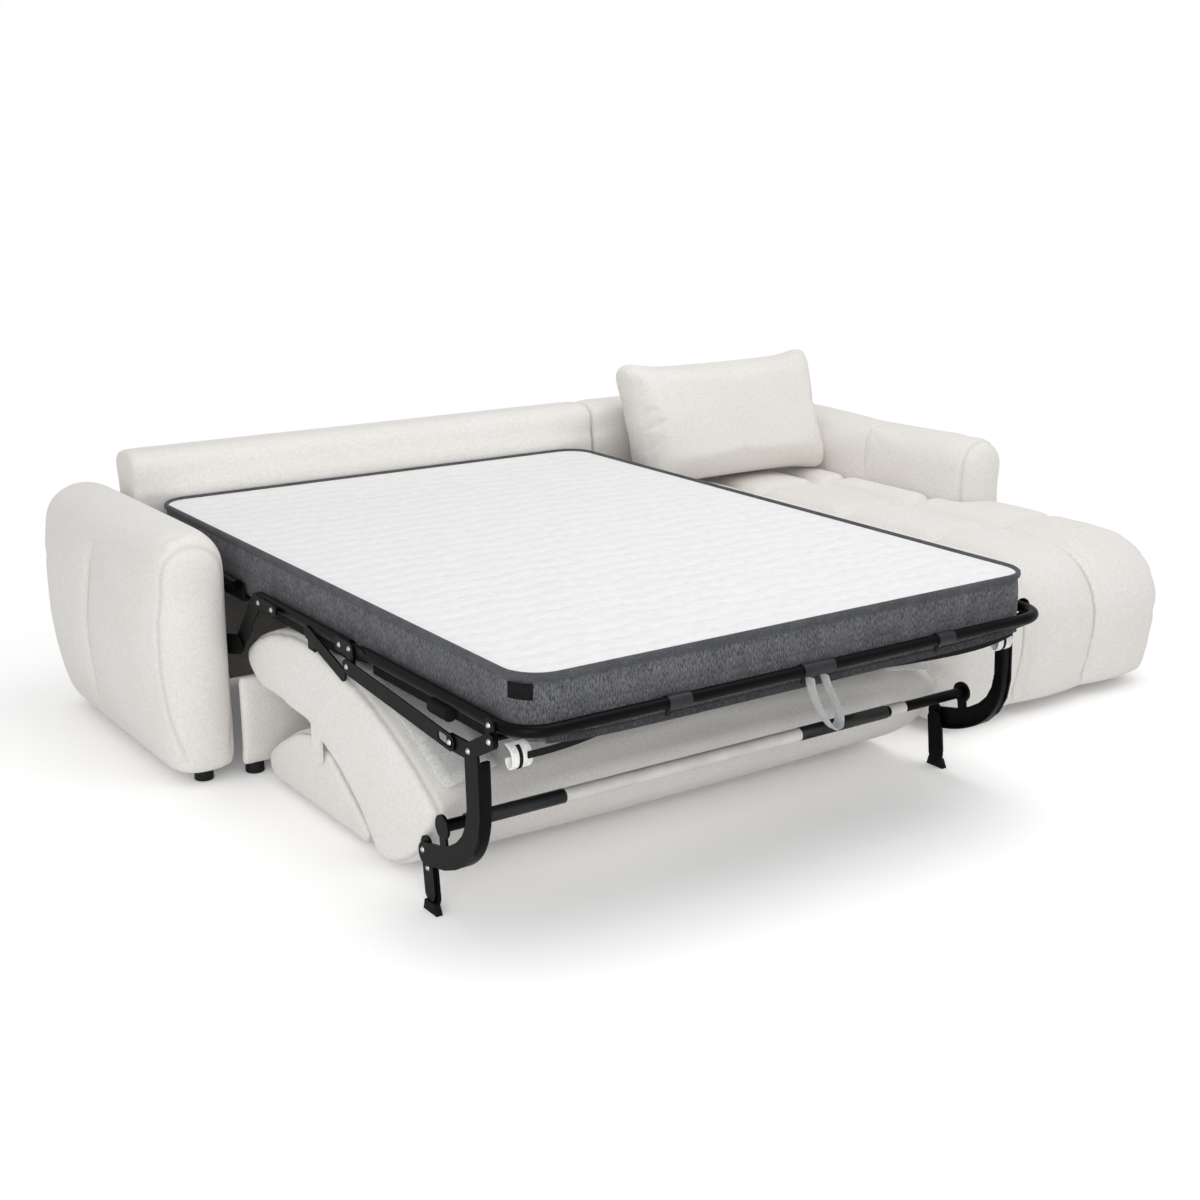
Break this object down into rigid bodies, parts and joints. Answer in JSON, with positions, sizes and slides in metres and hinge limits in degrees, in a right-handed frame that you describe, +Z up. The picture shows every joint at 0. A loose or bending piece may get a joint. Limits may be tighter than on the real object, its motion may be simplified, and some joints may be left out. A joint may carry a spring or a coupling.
{
  "type": "corner sofa bed",
  "caption": "Corner sofa bed with a tufted chaise, round arms and a low back, its seat flipped forward into a mattress bed on a folding steel frame.",
  "frame": {"origin": "on the floor under the middle of the object's box, bed unfolded", "axes": "+X to the chaise side, +Y to the rear, +Z up"},
  "size_m": [2.75, 2.1224, 0.8506],
  "materials": {
    "chenille": "cream textured upholstery",
    "ticking": "white quilt with grey border",
    "bed_base": "black base sheet",
    "pale_sleeve": "pale sleeve",
    "black_steel": "black powder coat",
    "black_plastic": "black moulded",
    "rubber": "black rubber"
  },
  "bodies": {
    "sofa": {"left_arm": "chenille", "right_arm": "chenille", "bed_back": "chenille", "chaise_back": "chenille", "chaise_seat": "chenille", "front_rail": "chenille", "side_panel": "chenille", "foot_arm_front": "black_plastic", "foot_arm_rear": "black_plastic", "foot_rail_left": "black_plastic", "foot_rail_right": "black_plastic", "foot_back_left": "black_plastic", "foot_back_right": "black_plastic", "foot_chaise_front_left": "black_plastic", "foot_chaise_front_right": "black_plastic", "foot_chaise_rear_left": "black_plastic", "foot_chaise_rear_right": "black_plastic", "lift_guide_left": "black_steel", "lift_guide_right": "black_steel", "pivot_plate_left": "black_steel", "pivot_plate_right": "black_steel"},
    "head_section": {"mattress_head": "ticking", "head_tray": "bed_base", "head_tube_left": "black_steel", "head_tube_right": "black_steel"},
    "middle_section": {"mattress_middle": "ticking", "middle_tray": "bed_base", "seat_cushion": "chenille", "seat_roll": "chenille", "middle_tube_left": "black_steel", "middle_tube_right": "black_steel", "fold_bracket_left": "black_steel", "fold_bracket_right": "black_steel", "hinge_plate_left": "black_steel", "hinge_plate_right": "black_steel", "back_hanger_left": "black_steel", "back_hanger_right": "black_steel"},
    "foot_section": {"mattress_foot": "ticking", "foot_tray": "bed_base", "foot_frame": "black_steel", "tube_clip_1": "black_plastic", "tube_clip_2": "black_plastic", "tube_clip_3": "black_plastic", "leg_plate_left": "black_steel", "leg_plate_right": "black_steel"},
    "legs": {"stretcher": "black_steel", "stretcher_sleeve": "pale_sleeve", "stretcher_end_sleeve": "pale_sleeve", "leg_left": "black_steel", "leg_right": "black_steel", "leg_foot_left": "black_steel", "leg_foot_right": "black_steel", "leg_pad_left": "rubber", "leg_pad_right": "rubber"},
    "tie_bars": {"tie_bar_left": "black_steel", "tie_bar_right": "black_steel"},
    "backrest": {"back_cushion": "chenille"},
    "pillow": {"pillow": "chenille"}
  },
  "joints": [
    {"name": "bed_fold", "type": "hinge", "parent": "sofa", "child": "middle_section", "pos_m": [-0.42, 0.21625, 0.35], "axis": [-1, 0, 0], "range_deg": [0, 180], "deforming": ["mattress_head", "mattress_middle", "mattress_foot", "seat_roll"]},
    {"name": "head_drop", "type": "slide", "parent": "sofa", "child": "head_section", "axis": [0, 0, -1], "range_m": [0, 0.42]},
    {"name": "foot_fold", "type": "hinge", "parent": "middle_section", "child": "foot_section", "pos_m": [-0.42, -0.37375, 0.485], "axis": [1, 0, 0], "range_deg": [0, 88]},
    {"name": "leg_fold", "type": "hinge", "parent": "foot_section", "child": "legs", "pos_m": [-0.42, -0.97175, 0.457], "axis": [1, 0, 0], "range_deg": [0, 40]},
    {"name": "tie_turn", "type": "hinge", "parent": "middle_section", "child": "tie_bars", "pos_m": [-0.42, -0.38075, 0.45], "axis": [1, 0, 0], "range_deg": [0, 79.5]},
    {"name": "back_raise", "type": "hinge", "parent": "middle_section", "child": "backrest", "pos_m": [-0.42, -0.15075, 0.172], "axis": [-1, 0, 0], "range_deg": [0, 90]},
    {"name": "pillow_lift", "type": "slide", "parent": "sofa", "child": "pillow", "axis": [0, 0, 1], "range_m": [0, 0.3]}
  ],
  "couplings": [
    {"joint": "head_drop", "follows": "bed_fold", "m_per_rad": 0.13369},
    {"joint": "foot_fold", "follows": "bed_fold", "ratio": 0.48889},
    {"joint": "leg_fold", "follows": "bed_fold", "ratio": 0.22222},
    {"joint": "tie_turn", "follows": "bed_fold", "ratio": 0.44167},
    {"joint": "back_raise", "follows": "bed_fold", "ratio": 0.5}
  ]
}
